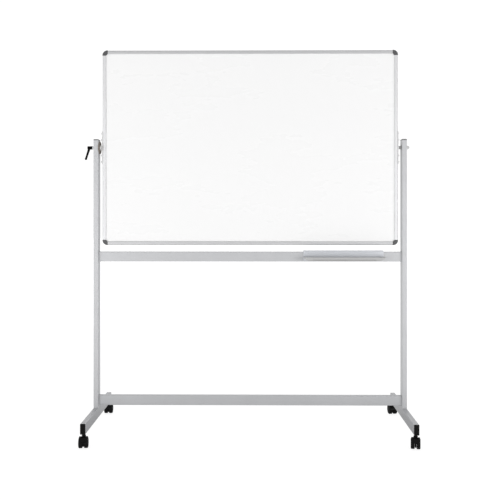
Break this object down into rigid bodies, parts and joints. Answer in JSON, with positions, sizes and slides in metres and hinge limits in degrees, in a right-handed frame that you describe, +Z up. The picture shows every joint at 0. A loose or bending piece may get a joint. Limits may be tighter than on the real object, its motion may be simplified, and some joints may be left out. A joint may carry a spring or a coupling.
{
  "type": "rolling whiteboard",
  "caption": "Free-standing double-sided whiteboard that turns over between two posts of a wheeled tube stand, with a clamp lever and a pen tray.",
  "frame": {"origin": "on the floor, under the middle of the board and midway between the posts", "axes": "+Z up; +X to the right of a person facing the front of the board; -Y towards that person, on the pen tray's side"},
  "size_m": [1.6569, 0.688, 1.9345],
  "materials": {
    "powder_coat": "silver-grey powder coat, satin",
    "black_end_cap": "moulded, satin",
    "grey_post_cap": "moulded, satin",
    "cast_zinc": "as cast",
    "zinc_steel": "zinc plated",
    "black_stem": "black, semi-gloss",
    "nylon_bush": "natural nylon",
    "white_enamel": "white dry-wipe coating, gloss",
    "honeycomb_core": "paper honeycomb",
    "frame_aluminium": "anodised, satin",
    "charcoal_corner": "moulded, fine grain",
    "white_plate": "light grey powder coat",
    "friction_lining": "brown-grey fibre",
    "grey_spacer": "turned",
    "black_handle": "glass-filled nylon, fine grain",
    "tray_metal": "anodised, satin",
    "tray_plastic": "moulded, satin",
    "castor_plastic": "moulded, satin",
    "wheel_nylon": "moulded, satin"
  },
  "bodies": {
    "stand": {"left_foot": "powder_coat", "right_foot": "powder_coat", "foot_end_caps": "black_end_cap", "left_post": "powder_coat", "right_post": "powder_coat", "post_top_caps": "grey_post_cap", "middle_rail": "powder_coat", "lower_rail": "powder_coat", "rail_nut_blocks": "cast_zinc", "rail_bolts": "zinc_steel", "foot_nut_plates": "cast_zinc", "foot_bolts": "zinc_steel", "castor_sockets": "zinc_steel", "castor_stems": "black_stem", "pivot_bushes": "nylon_bush", "clamp_washer": "zinc_steel"},
    "board": {"front_writing_sheet": "white_enamel", "rear_writing_sheet": "white_enamel", "board_core": "honeycomb_core", "frame_top": "frame_aluminium", "frame_bottom": "frame_aluminium", "frame_left": "frame_aluminium", "frame_right": "frame_aluminium", "top_left_corner_cap": "charcoal_corner", "top_right_corner_cap": "charcoal_corner", "bottom_left_corner_cap": "charcoal_corner", "bottom_right_corner_cap": "charcoal_corner", "left_pivot_plate": "white_plate", "right_pivot_plate": "white_plate", "pivot_plate_screws": "zinc_steel", "left_pivot_stud": "white_plate", "friction_disc": "friction_lining", "right_pivot_bolt": "zinc_steel", "right_spacer": "grey_spacer", "right_friction_washer": "grey_spacer", "right_lock_nut": "zinc_steel"},
    "clamp_insert": {"clamp_insert": "zinc_steel", "clamp_screw": "zinc_steel", "clamp_spring": "zinc_steel"},
    "clamp_handle": {"clamp_handle": "black_handle"},
    "tray": {"pen_tray": "tray_metal", "tray_ends": "tray_plastic"},
    "front_left_castor": {"front_left_castor_body": "castor_plastic", "front_left_castor_axle": "zinc_steel"},
    "front_left_outer_wheel": {"front_left_outer_wheel": "wheel_nylon"},
    "front_left_inner_wheel": {"front_left_inner_wheel": "wheel_nylon"},
    "front_left_brake": {"front_left_brake_pedal": "castor_plastic"},
    "front_right_castor": {"front_right_castor_body": "castor_plastic", "front_right_castor_axle": "zinc_steel"},
    "front_right_outer_wheel": {"front_right_outer_wheel": "wheel_nylon"},
    "front_right_inner_wheel": {"front_right_inner_wheel": "wheel_nylon"},
    "front_right_brake": {"front_right_brake_pedal": "castor_plastic"},
    "rear_left_castor": {"rear_left_castor_body": "castor_plastic", "rear_left_castor_axle": "zinc_steel"},
    "rear_left_outer_wheel": {"rear_left_outer_wheel": "wheel_nylon"},
    "rear_left_inner_wheel": {"rear_left_inner_wheel": "wheel_nylon"},
    "rear_right_castor": {"rear_right_castor_body": "castor_plastic", "rear_right_castor_axle": "zinc_steel"},
    "rear_right_outer_wheel": {"rear_right_outer_wheel": "wheel_nylon"},
    "rear_right_inner_wheel": {"rear_right_inner_wheel": "wheel_nylon"}
  },
  "joints": [
    {"name": "board_turn", "type": "hinge", "parent": "stand", "child": "board", "pos_m": [0, 0, 1.438], "axis": [1, 0, 0], "continuous": true},
    {"name": "clamp_turn", "type": "hinge", "parent": "stand", "child": "clamp_insert", "pos_m": [-0.8, 0, 1.438], "axis": [-1, 0, 0], "range_deg": [0, 180]},
    {"name": "clamp_lift", "type": "slide", "parent": "clamp_insert", "child": "clamp_handle", "axis": [-1, 0, 0], "range_m": [0, 0.004], "stiffness_N_per_m": 600, "springref_m": -0.004, "deforming": ["clamp_spring"]},
    {"name": "tray_slide", "type": "slide", "parent": "stand", "child": "tray", "axis": [1, 0, 0], "range_m": [-1.03, 0.09]},
    {"name": "front_left_swivel", "type": "hinge", "parent": "stand", "child": "front_left_castor", "pos_m": [-0.783, -0.29, 0.055], "axis": [0, 0, 1], "continuous": true},
    {"name": "front_left_outer_spin", "type": "hinge", "parent": "front_left_castor", "child": "front_left_outer_wheel", "pos_m": [-0.78056, -0.30985, 0.025], "axis": [-0.9925, -0.1219, 0], "continuous": true},
    {"name": "front_left_inner_spin", "type": "hinge", "parent": "front_left_castor", "child": "front_left_inner_wheel", "pos_m": [-0.78056, -0.30985, 0.025], "axis": [-0.9925, -0.1219, 0], "continuous": true},
    {"name": "front_left_brake", "type": "hinge", "parent": "front_left_castor", "child": "front_left_brake", "pos_m": [-0.77887, -0.32362, 0.04903], "axis": [-0.9925, -0.1219, 0], "range_deg": [0, 12]},
    {"name": "front_right_swivel", "type": "hinge", "parent": "stand", "child": "front_right_castor", "pos_m": [0.783, -0.29, 0.055], "axis": [0, 0, 1], "continuous": true},
    {"name": "front_right_outer_spin", "type": "hinge", "parent": "front_right_castor", "child": "front_right_outer_wheel", "pos_m": [0.77884, -0.30956, 0.025], "axis": [-0.9781, 0.2079, 0], "continuous": true},
    {"name": "front_right_inner_spin", "type": "hinge", "parent": "front_right_castor", "child": "front_right_inner_wheel", "pos_m": [0.77884, -0.30956, 0.025], "axis": [-0.9781, 0.2079, 0], "continuous": true},
    {"name": "front_right_brake", "type": "hinge", "parent": "front_right_castor", "child": "front_right_brake", "pos_m": [0.77596, -0.32313, 0.04903], "axis": [-0.9781, 0.2079, 0], "range_deg": [0, 12]},
    {"name": "rear_left_swivel", "type": "hinge", "parent": "stand", "child": "rear_left_castor", "pos_m": [-0.783, 0.29, 0.055], "axis": [0, 0, 1], "continuous": true},
    {"name": "rear_left_outer_spin", "type": "hinge", "parent": "rear_left_castor", "child": "rear_left_outer_wheel", "pos_m": [-0.7837, 0.30999, 0.025], "axis": [0.9994, 0.0349, 0], "continuous": true},
    {"name": "rear_left_inner_spin", "type": "hinge", "parent": "rear_left_castor", "child": "rear_left_inner_wheel", "pos_m": [-0.7837, 0.30999, 0.025], "axis": [0.9994, 0.0349, 0], "continuous": true},
    {"name": "rear_right_swivel", "type": "hinge", "parent": "stand", "child": "rear_right_castor", "pos_m": [0.783, 0.29, 0.055], "axis": [0, 0, 1], "continuous": true},
    {"name": "rear_right_outer_spin", "type": "hinge", "parent": "rear_right_castor", "child": "rear_right_outer_wheel", "pos_m": [0.78022, 0.30981, 0.025], "axis": [0.9903, 0.1392, 0], "continuous": true},
    {"name": "rear_right_inner_spin", "type": "hinge", "parent": "rear_right_castor", "child": "rear_right_inner_wheel", "pos_m": [0.78022, 0.30981, 0.025], "axis": [0.9903, 0.1392, 0], "continuous": true}
  ]
}
